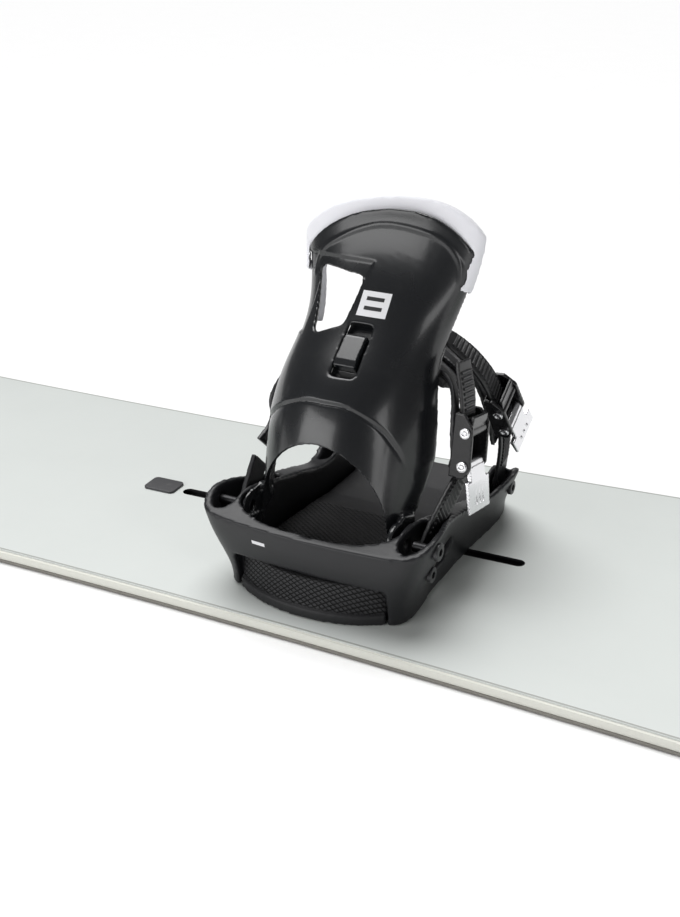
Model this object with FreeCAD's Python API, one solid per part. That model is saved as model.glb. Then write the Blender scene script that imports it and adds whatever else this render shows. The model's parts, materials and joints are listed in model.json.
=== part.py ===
import FreeCAD, Part
import math
import os

# Snowboard with a pair of strap bindings, millimetres.
# World frame: X along the board, Y across it (heel side -Y, toe side +Y), Z up.
# The origin is the centre of the flat running base, on its underside.
# One binding is drawn in its own frame (X to the outer side of the foot, Y to the
# toes, Z up from the board's top face, origin on the channel line) and then placed
# on the right; the left one is its mirror image about the plane X = 0.

V = FreeCAD.Vector
EX, EY, EZ = V(1, 0, 0), V(0, 1, 0), V(0, 0, 1)

# ---- board
WAIST_HALF = 125.0
SIDECUT_R = 7700.0
CONTACT_X = 590.0            # widest point, where the tip curve starts
TIP_X = 770.0                # half of the overall length
FLAT_X = 560.0               # end of the flat running length
KICK_R = 380.0               # radius of the upturned tips
BASE_T = 1.4
EDGE_H, EDGE_W = 2.0, 2.2    # steel edge section
CORE_TOP = 7.0
BOARD_T = 8.0
WALL_W = 7.0                 # sidewall width
TOP_INSET = 2.6              # topsheet's step in from the edge

# ---- binding position and channel
STANCE_HALF = 280.0
STANCE_ANGLE = 3.0           # toes turned outwards, degrees
CHANNEL = (126.0, 375.0)     # slot ends along X
CHANNEL_W, SLOT_W = 17.0, 9.0
CHANNEL_FLOOR = 3.0
PLUG_L = 24.0

# ---- baseplate
FLOOR_T = 8.0
BASE_GAP = 0.2
WALL_IN, WALL_T = 52.0, 3.0  # inner lip of the side walls
SHELL_T = 4.0                # outer lip
DISC_R, DISC_NECK_R = 44.0, 36.0
PAD_JOIN = -7.0              # where the heel pad meets the footbed
RUN = 0.3                    # clearance of faces that turn past each other
FIT = 0.06                   # radial clearance of pins

# ---- highback
HB_Y, HB_Z, HB_LEAN = -58.0, 42.0, 15.0
HB_T = 3.5
PAD_GAP = 0.1                # glue line under the foam liner
RIM_FROM = 141.0             # the liner wraps over the edge above this height
HINGE_Y, HINGE_Z = -86.0, 48.0
HINGE_R = 3.0
SLOT_X, SLOT_HALF, SLOT_LOW, SLOT_HIGH = 1.0, 7.5, 86.0, 116.0

# ---- straps: anchor axes, and the tilt of each buckle from upright
ANKLE_Y, ANKLE_Z, ANKLE_TILT = -82.0, 30.0, 11.0
TOE_Y, TOE_Z, TOE_TILT = 50.0, 28.0, -32.0
TOE_LEAN = 4.0               # the toe buckle also leans in over the foot
PIN_R = 2.5
EYE_R = 9.7                  # strap ends round their anchor screws
PIVOT_R = 2.0                # buckle pins
STRAP_T = 3.0
LADDER_T = 2.4
CROWN_Z = 95.0               # height above which the loops turn in over the foot


# ------------------------------------------------------------------ helpers
def box(x0, x1, y0, y1, z0, z1):
    return Part.makeBox(x1 - x0, y1 - y0, z1 - z0, V(x0, y0, z0))


def rod(r, start, end):
    d = end - start
    return Part.makeCylinder(r, d.Length, start, d)


def spline(points, closed=False):
    curve = Part.BSplineCurve()
    curve.interpolate(points, PeriodicFlag=closed)
    return curve.toShape()


def prism(edges, direction):
    return Part.Face(Part.Wire(edges)).extrude(direction)


def outline(points):
    return Part.makePolygon(points + points[:1]).Edges


def rounded(solid, radius, pick=lambda e: True):
    edges = [e for e in solid.Edges if pick(e)]
    return solid.makeFillet(radius, edges)


def fused(shapes):
    return shapes[0].multiFuse(shapes[1:]).removeSplitter()


def cut(solid, *tools):
    for tool in tools:
        solid = solid.cut(tool)
    return solid


def both_sides(shape):
    return [shape, shape.mirror(V(0, 0, 0), EX)]


# -------------------------------------------------------------------- board
def board_edge(inset, z):
    """Outline wire of the board, drawn in from the edge by inset."""
    half = WAIST_HALF - inset
    widest = half + CONTACT_X ** 2 / (2 * SIDECUT_R)
    tip = TIP_X - inset
    sides = []
    for s in (1, -1):
        mid, end = V(0, s * half, z), CONTACT_X
        sides.append(Part.Arc(V(-end, s * widest, z), mid, V(end, s * widest, z)).toShape())
    tips = []
    for s in (1, -1):
        x0, x1 = s * CONTACT_X, s * tip
        shoulder = [(0.3, 0.985), (0.6, 0.86), (0.86, 0.58), (0.97, 0.26), (1.0, 0.0)]
        upper = [V(x0 + (x1 - x0) * a, widest * b, z) for a, b in shoulder]
        lower = [V(p.x, -p.y, z) for p in reversed(upper[:-1])]
        curve = Part.BSplineCurve()
        slope = V(s, CONTACT_X / SIDECUT_R, 0)
        curve.interpolate([V(x0, widest, z)] + upper + lower + [V(x0, -widest, z)],
                          InitialTangent=slope, FinalTangent=V(-slope.x, slope.y, 0))
        tips.append(curve.toShape())
    return Part.Wire(Part.__sortEdges__(sides + tips))


def board_slab(z0, z1):
    """Slab between two heights of the board's side profile, kicked up at the tips."""
    def path(z):
        r = KICK_R - z
        turn = math.asin((TIP_X + 20 - FLAT_X) / KICK_R)
        edges = []
        for s in (-1, 1):
            def on(t):
                return V(s * (FLAT_X + r * math.sin(t)), -200, KICK_R - r * math.cos(t))
            edges.append((on(0), Part.Arc(on(0), on(turn / 2), on(turn)).toShape(), on(turn)))
        return edges
    low, high = path(z0), path(z1)
    edges = [low[0][1], high[0][1], low[1][1], high[1][1]]
    edges.append(Part.makeLine(low[0][0], low[1][0]))
    edges.append(Part.makeLine(high[0][0], high[1][0]))
    for i in (0, 1):
        edges.append(Part.makeLine(low[i][2], high[i][2]))
    return Part.Face(Part.Wire(Part.__sortEdges__(edges))).extrude(V(0, 400, 0))


def board_layer(z0, z1, inset, hollow=None):
    column = Part.Face(board_edge(inset, -5)).extrude(V(0, 0, 140))
    if hollow is not None:
        column = column.cut(Part.Face(board_edge(hollow, -5)).extrude(V(0, 0, 140)))
    return board_slab(z0, z1).common(column)


def stadium(x0, x1, half, z0, z1):
    """Slot-shaped prism with round ends."""
    r = half
    body = box(x0 + r, x1 - r, -half, half, z0, z1)
    ends = [Part.makeCylinder(r, z1 - z0, V(x, 0, z0)) for x in (x0 + r, x1 - r)]
    return fused([body] + ends)


def channel_track():
    x0, x1 = CHANNEL
    half = CHANNEL_W / 2
    rail = stadium(x0 - 4, x1 + 4, half, CHANNEL_FLOOR, BOARD_T)
    groove = stadium(x0 - 1, x1 + 1, half - 2, CHANNEL_FLOOR + 0.6, BOARD_T - 1.6)
    return cut(rail, groove, stadium(x0, x1, SLOT_W / 2, CHANNEL_FLOOR + 0.6, BOARD_T + 1))


def channel_plug():
    x1 = CHANNEL[0] - 4.2
    cap = rounded(box(x1 - PLUG_L, x1, -9, 9, BOARD_T + 0.02, BOARD_T + 1.6), 3.5,
                  lambda e: abs(e.tangentAt(e.FirstParameter).z) > 0.9)
    return rounded(cap, 0.6, lambda e: e.BoundBox.ZMin > BOARD_T + 1.5)


def make_board():
    rails = [channel_track()]
    rails.append(rails[0].mirror(V(0, 0, 0), EX))
    plugs = [channel_plug()]
    plugs.append(plugs[0].mirror(V(0, 0, 0), EX))
    x0, x1 = CHANNEL
    bed = stadium(x0 - 4, x1 + 4, CHANNEL_W / 2, CHANNEL_FLOOR, BOARD_T + 1)
    beds = [bed, bed.mirror(V(0, 0, 0), EX)]
    return {
        "base_sheet": board_layer(0, BASE_T, EDGE_W),
        "steel_edge": board_layer(0, EDGE_H, 0, EDGE_W),
        "sidewall": board_layer(EDGE_H, CORE_TOP, 0.6, WALL_W),
        "core": cut(fused([board_layer(EDGE_H, CORE_TOP, WALL_W),
                           board_layer(BASE_T, EDGE_H, EDGE_W)]), *beds),
        "topsheet": cut(board_layer(CORE_TOP, BOARD_T, TOP_INSET), *beds),
        "channel_tracks": Part.Compound(rails),
        "channel_plugs": Part.Compound(plugs),
    }


# ---------------------------------------------------------------- baseplate
# Stations round one half of the baseplate's footprint, toe to heel: x, y at the
# board and how far each point has moved out (dx, dy) at full height.
FOOTPRINT = [(30, 87, 0, 0), (50, 80, 6, 0), (58, 62, 15, 0), (58.5, 30, 15, 0),
             (57, 0, 11, 0), (57, -30, 10, 0), (58, -60, 13, 0), (60, -85, 16, -3),
             (56, -98, 16, -9), (40, -103, 6, -12)]
TOE_END, HEEL_END, HEEL_FLARE = 88.0, -105.0, -12.0
WINDOW_TOP = 25.0            # underside of the hoop across the heel
FLARE_STEPS = [(0.0, 0.0), (12.0, 0.06), (28.0, 0.42), (44.0, 0.76), (62.0, 1.0)]

# Height of the walls along Y, heel to toe.
RIM = [(-126, 49), (-112, 51), (-90, 57), (-50, 50), (-10, 40), (18, 34), (44, 39),
       (62, 37), (74, 20), (84, 8.4)]


def footprint_wire(inset, z, share):
    right = [V(x + dx * share - inset, y + dy * share, z) for x, y, dx, dy in FOOTPRINT]
    for p in right:
        if p.y < -90 or p.y > 75:
            p.y += inset if p.y < 0 else -inset
    toe = V(0, TOE_END - inset, z)
    heel = V(0, HEEL_END + HEEL_FLARE * share + inset, z)
    left = [V(-p.x, p.y, z) for p in reversed(right)]
    return Part.Wire([spline([toe] + right + [heel] + left, closed=True)])


def footprint_solid(inset):
    return Part.makeLoft([footprint_wire(inset, z, share) for z, share in FLARE_STEPS], True)


def rim_volume(x0, x1, y0, y1):
    """Everything below the rim line, between two planes across and along."""
    top = spline([V(x0, y, z) for y, z in RIM])
    first, last = RIM[0], RIM[-1]
    ends = [V(x0, first[0], first[1]), V(x0, first[0], 0), V(x0, 95, 0),
            V(x0, 95, FLOOR_T), V(x0, last[0], last[1])]
    sides = [Part.makeLine(a, b) for a, b in zip(ends, ends[1:])]
    return prism([top] + sides, V(x1 - x0, 0, 0)).common(box(x0, x1, y0, y1, 0, 90))


def well_wire(z, share):
    """Plan of the boot's space; its heel keeps a constant wall as the hoop flares."""
    slack = HEEL_FLARE * (share - 1)
    half = [V(WALL_IN, -84, z), V(50, -96 + slack * 0.2, z), V(36, -106 + slack * 0.7, z)]
    heel = half + [V(0, -111 + slack, z)] + [V(-p.x, p.y, z) for p in reversed(half)]
    toe = [heel[-1], V(-WALL_IN, 100, z), V(WALL_IN, 100, z), heel[0]]
    return Part.Wire([spline(heel)] + Part.makePolygon(toe).Edges)


def boot_well():
    """Space between the inner lips, open to the toe and rounded at the heel."""
    steps = [(FLOOR_T, 0.0)] + FLARE_STEPS[1:] + [(88.0, 1.0)]
    return Part.makeLoft([well_wire(z, share) for z, share in steps], True)


def side_window():
    """Opening through the rail on the outer side of the foot only."""
    win = box(40, 90, -66, -34, 15, 33)
    return rounded(win, 8, lambda e: e.BoundBox.XLength > 10)


def strap_pocket(y0, y1, floor):
    """Slot between the lips where a strap goes down to its anchor."""
    inner = WALL_IN + WALL_T
    slot = rounded(box(inner, 90, y0, y1, floor, 90), 8,
                   lambda e: e.BoundBox.ZLength > 10 and e.BoundBox.XMin < inner + 1)
    return footprint_solid(SHELL_T).common(slot)


def baseplate():
    body = footprint_solid(0).common(rim_volume(-100, 100, -126, 95))
    body = cut(body, boot_well(), box(-50, 50, -130, -96, -1, WINDOW_TOP),
               box(-100, 100, -130, 100, -1, BASE_GAP))
    body = cut(body, side_window())
    for tool in (strap_pocket(-105, -60, 16), strap_pocket(-64, -36, 31),
                 strap_pocket(18, 68, 15)):
        body = cut(body, *both_sides(tool))
    body = cut(body, rod(11 + RUN, V(-51.2, HINGE_Y, HINGE_Z), V(51.2, HINGE_Y, HINGE_Z)))
    for y, z, x in ((ANKLE_Y, ANKLE_Z, 59.0), (TOE_Y, TOE_Z, 57.8)):
        eyes = rod(EYE_R + RUN, V(x - 2, y, z), V(x + 2, y, z))
        body = cut(body, *both_sides(eyes))
    for ends in (ANKLE_LINK, ANKLE_LADDER[:4]):
        for turn in (0, -3):
            room = ribbon(ends, STRAP_T + 1.0, 1.0)
            room.rotate(V(0, ANKLE_Y, ANKLE_Z), EX, turn)
            body = cut(body, room)
    body = max(body.Solids, key=lambda solid: solid.Volume)
    neck = Part.makeCylinder(DISC_NECK_R + RUN, 20, V(0, 0, -5))
    seat = Part.makeCylinder(DISC_R + RUN, 20, V(0, 0, 4))
    body = cut(body, neck, seat)
    for y, z, r in ((HINGE_Y, HINGE_Z, HINGE_R), (ANKLE_Y, ANKLE_Z, PIN_R),
                    (TOE_Y, TOE_Z, PIN_R)):
        body = cut(body, rod(r + FIT, V(-90, y, z), V(90, y, z)))
    return body


def apron_plan(inset, z):
    rear = [V(-48.6, -101 + inset, z), V(-30, -111 + inset, z), V(0, -116 + inset, z),
            V(30, -111 + inset, z), V(48.6, -101 + inset, z)]
    front = [rear[-1], V(48.6, -96.1, z), V(-48.6, -96.1, z), rear[0]]
    return Part.Wire([spline(rear)] + Part.makePolygon(front).Edges)


def heel_pad():
    """Cushioned heel bed; its lower lip and textured rear panel close the base."""
    side = [V(-48, -97.5, 8.1), V(-48, -97.5, 15), V(-48, -78, 21), V(-48, -50, 21.5),
            V(-48, PAD_JOIN - 0.3, 18), V(-48, PAD_JOIN - 0.3, 10.8), V(-48, -46, 10.8),
            V(-48, -46, 8.1)]
    wedge = prism(outline(side), V(96, 0, 0))
    well = boot_well()
    well.translate(V(0, 0, 0.05))
    bed = wedge.common(well.common(box(-48, 48, -96.5, 0, 8, 40)))
    lip = prism([*apron_plan(0, 0.4).Edges], V(0, 0, 6.6))
    panel = Part.makeLoft([apron_plan(3.0, 5.0), apron_plan(4.6, WINDOW_TOP - 0.3)], True)
    return fused([bed, lip, panel])


def footbed():
    """Bed over the floor and the disc, rising to the toe ramp."""
    side = [V(-50, PAD_JOIN, 10.8), V(-50, PAD_JOIN, 16.5), V(-50, 12, 14.5), V(-50, 50, 14.5),
            V(-50, 84, 18), V(-50, 84, 8.1), V(-50, 47, 8.1), V(-50, 47, 10.8)]
    bed = prism(outline(side), V(100, 0, 0))
    corner = rounded(box(-50, 50, PAD_JOIN, 84, 0, 30), 14,
                     lambda e: e.BoundBox.ZLength > 10 and e.BoundBox.YMin > 0)
    return bed.common(corner)


def mounting_disc():
    disc = fused([Part.makeCylinder(DISC_R, 6, V(0, 0, 4.2)),
                  Part.makeCylinder(DISC_NECK_R, 6, V(0, 0, BASE_GAP))])
    for x in (-20, 20):
        slot = stadium(x - 9, x + 9, 3.2, -1, 20)
        disc = cut(disc, slot, stadium(x - 12, x + 12, 6.2, 5, 20))
    return disc


def disc_screws():
    screws = []
    for x in (-20, 20):
        shaft = Part.makeCylinder(2.9, 8.2, V(x, 0, -3.2))
        head = Part.makeCylinder(5.5, 3.4, V(x, 0, 5.0))
        socket = Part.makePolygon([V(x + 2.9 * math.cos(math.radians(60 * i)),
                                     2.9 * math.sin(math.radians(60 * i)), 6.2)
                                   for i in range(7)])
        screws.append(cut(fused([shaft, head]), Part.Face(socket).extrude(V(0, 0, 4))))
    return Part.Compound(screws)


def channel_nuts():
    nuts = []
    for x in (-20, 20):
        foot = box(x - 9, x + 9, -6, 6, -4.2, -1.9)
        neck = box(x - 6, x + 6, -4.2, 4.2, -1.9, -0.2)
        nuts.append(cut(fused([foot, neck]), Part.makeCylinder(2.9 + FIT, 8, V(x, 0, -6))))
    return Part.Compound(nuts)


def cap_screws(r, places):
    """Pan-head screws driven in from outside, each with a hexagon socket."""
    screws = []
    for y, z, x_in, x_out in places:
        for s in (1, -1):
            shaft = rod(r, V(s * x_in, y, z), V(s * x_out, y, z))
            head = rod(r + 2.4, V(s * x_out, y, z), V(s * (x_out + 2.6), y, z))
            hexagon = Part.makePolygon([V(s * (x_out + 1.2),
                                          y + 2.2 * math.cos(math.radians(60 * i)),
                                          z + 2.2 * math.sin(math.radians(60 * i)))
                                        for i in range(7)])
            socket = Part.Face(hexagon).extrude(V(s * 4, 0, 0))
            screws.append(cut(fused([shaft, head]), socket))
    return Part.Compound(screws)


# ----------------------------------------------------------------- highback
# Sections up the shell: height w, rear spine v, centre x, half width, depth and
# squareness (1 is an ellipse, less is boxier).
SECTIONS = [(-14, -42, -1, 49.6, 58, 0.55), (0, -44, -1, 50, 60, 0.72), (30, -45, -4, 53, 58, 0.94),
            (66, -41, -5, 52, 54, 1), (86, -32, -5, 49, 46, 1), (104, -20, -4, 47, 38, 1),
            (120, -10, -3, 48, 32, 1), (150, 2, -2, 54, 22, 1), (180, 4, -1, 57, 17, 1),
            (200, 4, -1, 57, 16, 1)]


def band_section(w, v, x0, half, depth, square, skins):
    """Closed wire of a curved wall between two offsets from the rear surface."""
    curves = []
    for grow, back in skins:
        points = []
        for i in range(-6, 7):
            a = math.radians(15 * i)
            across = math.copysign(abs(math.sin(a)) ** square, a)
            points.append(V(x0 + (half - grow) * across,
                            v + back + (depth - back) * (1 - abs(math.cos(a)) ** square), w))
        curves.append(points)
    rear, front = curves
    edges = [spline(rear), Part.makeLine(rear[-1], front[-1]),
             spline(list(reversed(front))), Part.makeLine(front[0], rear[0])]
    return Part.Wire(edges)


def band(skins, rows):
    return Part.makeLoft([band_section(*row, skins) for row in rows], True)


def top_cookie(grow, low):
    """Front view of the highback's upper edge, as a prism through the shell."""
    crown = [V(-62, -90, 138), V(-56, -90, 153), V(-38, -90, 170), V(-2, -90, 183),
             V(33, -90, 180), V(52, -90, 165), V(60, -90, 138)]
    crown = [V(p.x + math.copysign(grow, p.x), p.y, p.z + grow) for p in crown]
    crown[3].x = -2
    foot = [crown[0], V(-90, -90, crown[0].z - 8), V(-90, -90, low), V(90, -90, low),
            V(90, -90, crown[0].z - 8), crown[-1]]
    return prism([spline(crown)] + Part.makePolygon(foot).Edges, V(0, 180, 0))


def window_cutter():
    corners = [V(-41, -90, 146), V(-7, -90, 142), V(-11, -90, 114), V(-30, -90, 106)]
    hole = prism(outline(corners), V(0, 180, 0))
    return rounded(hole, 3.5, lambda e: e.BoundBox.YLength > 100)


def to_highback(shape):
    shape.rotate(V(0, 0, 0), EX, -HB_LEAN)
    shape.translate(V(0, HB_Y, HB_Z))
    return shape


def highback():
    shell = band([(0, 0), (HB_T, HB_T)], SECTIONS).common(top_cookie(0, -13))
    arch = Part.Ellipse(V(-3, -90, 46), V(41, -90, -12), V(-3, -90, -12)).toShape()
    heel_arch = prism([arch], V(0, 200, 0))
    front = prism(outline([V(-90, 18, 52), V(-90, 40, 52), V(-90, 40, -30), V(-90, -14, -30),
                           V(-90, -14, -8)]), V(180, 0, 0))
    below = box(-38, 38, -90, 90, -30, 0)
    slot = rounded(box(SLOT_X - SLOT_HALF, SLOT_X + SLOT_HALF, -90, 90, SLOT_LOW, SLOT_HIGH), 2,
                   lambda e: e.BoundBox.YLength > 100)
    shell = to_highback(cut(shell, heel_arch, front, below, window_cutter(), slot))
    eyes = []
    for s, x in ((1, 45.6), (-1, 47.4)):
        eyes.append(rod(11, V(s * x, HINGE_Y, HINGE_Z), V(s * (x + 3.4), HINGE_Y, HINGE_Z)))
        arm = [V(s * x, HINGE_Y + y, HINGE_Z + z)
               for y, z in ((-6, 9), (10, 12), (24, 7), (26, -3), (6, -9))]
        eyes.append(prism(outline(arm), V(s * 3.2, 0, 0)))
    body = fused([shell] + eyes)
    return cut(body, rod(HINGE_R + FIT, V(-90, HINGE_Y, HINGE_Z), V(90, HINGE_Y, HINGE_Z)))


def highback_pad():
    """Foam liner on the front of the shell that wraps over its upper edge."""
    rows = [row for row in SECTIONS if row[0] > 100]
    pad = band([(-3, 5), (9, 13)], rows).common(top_cookie(7.5, 112))
    skin = (HB_T + PAD_GAP, HB_T + PAD_GAP)
    core = band([(-PAD_GAP, -PAD_GAP), skin], rows).common(top_cookie(PAD_GAP, 100))
    behind = band([(-12, -12), skin], rows).common(box(-90, 90, -90, 90, 100, RIM_FROM))
    hole = window_cutter()
    hole.scale(1.12, V(-23, 0, 127))
    clear = box(SLOT_X - 12, SLOT_X + 12, -90, 90, 100, SLOT_HIGH + 6)
    return to_highback(cut(pad, core, behind, hole, clear))


def lean_adjuster():
    """Thumb slide in the spine slot, gripping the shell from both faces."""
    spine = (-22.0, 33.0)    # depth and slope of the shell at the slot's middle
    side = [V(-6.7, 6.2, -11), V(-6.7, -1.4, -11), V(-6.7, -2.2, -7), V(-6.7, -1.2, 9),
            V(-6.7, 0.4, 11), V(-6.7, 6.2, 11)]
    thumb = rounded(prism(outline(side), V(13.4, 0, 0)), 1.2,
                    lambda e: e.BoundBox.YMax < 1 and e.BoundBox.ZMin > 0)
    flange = box(-9.5, 9.5, 5.6, 7.0, -16.5, 22.5)
    block = fused([thumb, flange])
    block.rotate(V(0, 0, 0), EX, -spine[1])
    block.translate(V(SLOT_X, spine[0], (SLOT_LOW + SLOT_HIGH) / 2))
    return to_highback(block)


# ------------------------------------------------------------------- straps
# A strap follows stations (x, y, z, width) in the binding's frame. Its flat side
# faces outwards on the sides of the foot and upwards over the instep.
def station_frame(stations, i):
    here = V(*stations[i][:3])
    ahead = V(*stations[min(i + 1, len(stations) - 1)][:3])
    behind = V(*stations[max(i - 1, 0)][:3])
    along = (ahead - behind).normalize()
    out = V(here.x, 0, max(0.0, here.z - CROWN_Z))
    out = (out - along * out.dot(along)).normalize()
    return here, along, out, along.cross(out)


def ribbon(stations, thickness, grow=0.0, sink=0.0):
    """Smooth flat strip through the stations, widened by grow and sunk inwards."""
    rings = []
    for i, station in enumerate(stations):
        here, along, out, across = station_frame(stations, i)
        half = (station[3] + grow) / 2
        centre = here - out * sink
        corners = [centre + across * (a * half) + out * (b * thickness / 2)
                   for a, b in ((1, 1), (-1, 1), (-1, -1), (1, -1))]
        rings.append(Part.makePolygon(corners + corners[:1]))
    return Part.makeLoft(rings, True)


def eyelet(station, y, z):
    x = station[0]
    return rod(EYE_R, V(x - 1.6, y, z), V(x + 1.6, y, z))


def anchor_hole(y, z):
    return rod(PIN_R + FIT, V(-90, y, z), V(90, y, z))


def buckle_frame(t0, t1, x, half):
    """Cheeks and floor of a ratchet buckle; the ladder runs between them."""
    floor = box(x - 3.0, x - 1.6, -half, half, t0, t1)
    cheeks = []
    for y in (-half, half - 2.4):
        side = [V(x - 3, y, t0), V(x + 6, y, t0 - 1), V(x + 10, y, t0 + 6), V(x + 9, y, t1 - 8),
                V(x + 3, y, t1), V(x - 3, y, t1)]
        cheeks.append(rounded(prism(outline(side), V(0, 2.4, 0)), 2.4,
                              lambda e: e.BoundBox.YLength > 2 and e.BoundBox.XMin > x))
    return fused([floor] + cheeks)


def buckle_pin(x, z, half, r=PIVOT_R):
    shaft = rod(r, V(x, -half - 0.9, z), V(x, half + 0.9, z))
    heads = [rod(r + 1.1, V(x, s * (half + 0.1), z), V(x, s * (half + 1.3), z)) for s in (1, -1)]
    return fused([shaft] + heads)


def lever(x, z, half, length, flare):
    """Ratchet lever: boss round the pin, toothed cam and a long ribbed thumb plate."""
    inner = half - 2.9
    boss = rod(3.5, V(x, -inner, z), V(x, inner, z))
    plate = [V(x + 0.5, -inner, z - 3), V(x + 4.0, -inner, z - 1), V(x + 5.6, -inner, z - 10),
             V(x + 4.2 + flare, -inner, z - length), V(x + 2.2 + flare, -inner, z - length),
             V(x + 3.2, -inner, z - 11)]
    arm = prism(outline(plate), V(0, 2 * inner, 0))
    wide = box(x + 1, x + 40, -half - 3, half + 3, z - length - 1, z - 9)
    wing = [V(p.x, -half - 2, p.z) for p in plate]
    blade = prism(outline(wing), V(0, 2 * half + 4, 0)).common(wide)
    ribs = [rod(0.7, V(x + 4.7 + flare * k / 6, y, z - 14), V(x + 4.3 + flare, y, z - length + 4))
            for k, y in ((1, -5), (1, 0), (1, 5))]
    body = fused([boss, arm, blade] + ribs)
    return cut(body, rod(PIVOT_R + FIT, V(x, -40, z), V(x, 40, z)))


def pawl(x, z, half):
    """Sprung catch that drops into the ladder's teeth."""
    inner = half - 2.9
    boss = rod(3.6, V(x, -inner, z), V(x, inner, z))
    side = [V(x - 3.2, -inner, z - 2), V(x + 2, -inner, z - 3), V(x + 3.4, -inner, z + 9),
            V(x + 1.6, -inner, z + 9.6), V(x - 0.6, -inner, z + 3)]
    body = fused([boss, prism(outline(side), V(0, 2 * inner, 0))])
    return cut(body, rod(PIVOT_R + FIT, V(x, -40, z), V(x, 40, z)))


def cheek_bores(frame, places, half):
    for x, z in places:
        frame = cut(frame, rod(PIVOT_R + FIT, V(x, -half - 2, z), V(x, half + 2, z)))
    return frame


# Stations of the ankle loop, from the outer anchor up the ladder, and from the
# buckle over the instep to the inner anchor; then the same for the toe loop.
ANKLE_LADDER = [(59, -82, 30, 18), (60.2, -70, 42, 18), (61.6, -52, 56, 18), (63, -36, 66, 18),
                (63.8, -29.6, 76, 18), (63.8, -26.1, 94, 18), (63.2, -23.4, 108, 18),
                (60.5, -21, 124, 18), (57, -19, 138, 15)]
ANKLE_STRAP = [(59.2, -29, 76, 22), (59.4, -26, 92, 24), (57.5, -19, 106, 26), (50, -8, 120, 26),
               (28, 0, 130, 34), (0, 3, 134, 34), (-28, 0, 130, 34), (-47, -3, 122, 26),
               (-59.5, -13, 108, 24), (-63, -30, 88, 22), (-63.4, -46, 70, 20)]
ANKLE_LINK = [(-63.2, -52, 62, 18), (-62.2, -64, 49, 18), (-60.4, -75, 38, 18), (-59, -82, 30, 18)]
TOE_LADDER = [(57.8, 50, 28, 18), (60, 47, 42, 18), (63.5, 41, 62, 18), (65.4, 33.2, 80, 18),
              (65.8, 23.8, 95, 18), (64.4, 15, 109, 18), (58, 8, 124, 18), (48, 3, 136, 18),
              (38, 0, 144, 15)]
TOE_STRAP = [(61.3, 35, 70, 20), (62.2, 28, 86, 24), (57.8, 25, 102, 26), (46, 30, 113, 28),
             (25, 37, 118, 28), (0, 39, 119, 28), (-25, 38, 117, 28), (-46, 36, 108, 28),
             (-59, 38, 90, 24), (-62.6, 42, 72, 20), (-62, 45, 60, 20)]
TOE_LINK = [(-61.8, 46.5, 53, 18), (-60.6, 48, 44, 18), (-58.8, 49, 36, 18), (-57.8, 50, 28, 18)]

# Buckles: centre of the ladder's run, then the cheeks' length and half width.
ANKLE_BUCKLE = (63.8, -26.7, 91.0, 38.0, 14.0)
TOE_BUCKLE = (65.8, 22.9, 96.4, 34.0, 12.0)


def strap_parts(loop, link, run, spot, tilt, lean, anchor, lever_size, pierced):
    x, y, z, length, half = spot
    lever_len, lever_turn = lever_size
    pins = [(5.2, 7.0 - length / 2), (4.8, length / 2 - 11.0)]

    def seat(shape):
        shape.rotate(V(0, 0, 0), EY, -lean)
        shape.rotate(V(0, 0, 0), EX, -tilt)
        shape.translate(V(x, y, z))
        return shape

    frame = buckle_frame(-length / 2, length / 2, 0.0, half)
    for px, pz in pins:
        frame = cut(frame, rod(PIVOT_R + FIT, V(px, -half - 2, pz), V(px, half + 2, pz)))
    bolts = [buckle_pin(px, pz, half) for px, pz in pins]
    handle = lever(pins[0][0], pins[0][1], half, lever_len, 3.0)
    handle.rotate(V(pins[0][0], 0, pins[0][1]), EY, -lever_turn)
    handle = seat(handle)
    catch = seat(pawl(pins[1][0], pins[1][1], half))
    frame = seat(frame)

    hole = anchor_hole(*anchor)
    strip = ribbon(run, LADDER_T)
    room = ribbon(run, LADDER_T + 1.0)
    rack = cut(fused([strip, eyelet(run[0], *anchor)]), hole)
    rack = max(rack.Solids, key=lambda solid: solid.Volume)
    tail = cut(fused([ribbon(link, STRAP_T), eyelet(link[-1], *anchor)]), hole)
    body = ribbon(loop, STRAP_T)
    if pierced:
        body = cut(body, ribbon([(px, py, pz, 12) for px, py, pz, _ in loop[2:-3]], 9.0))
    frame = cut(frame, strip)
    return {
        "strap": cut(body, frame, tail),
        "connector": tail,
        "ladder": rack,
        "buckle": frame,
        "lever": cut(handle, room),
        "pawl": cut(catch, room),
        "buckle_pins": Part.Compound([seat(bolt) for bolt in bolts]),
    }


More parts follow.
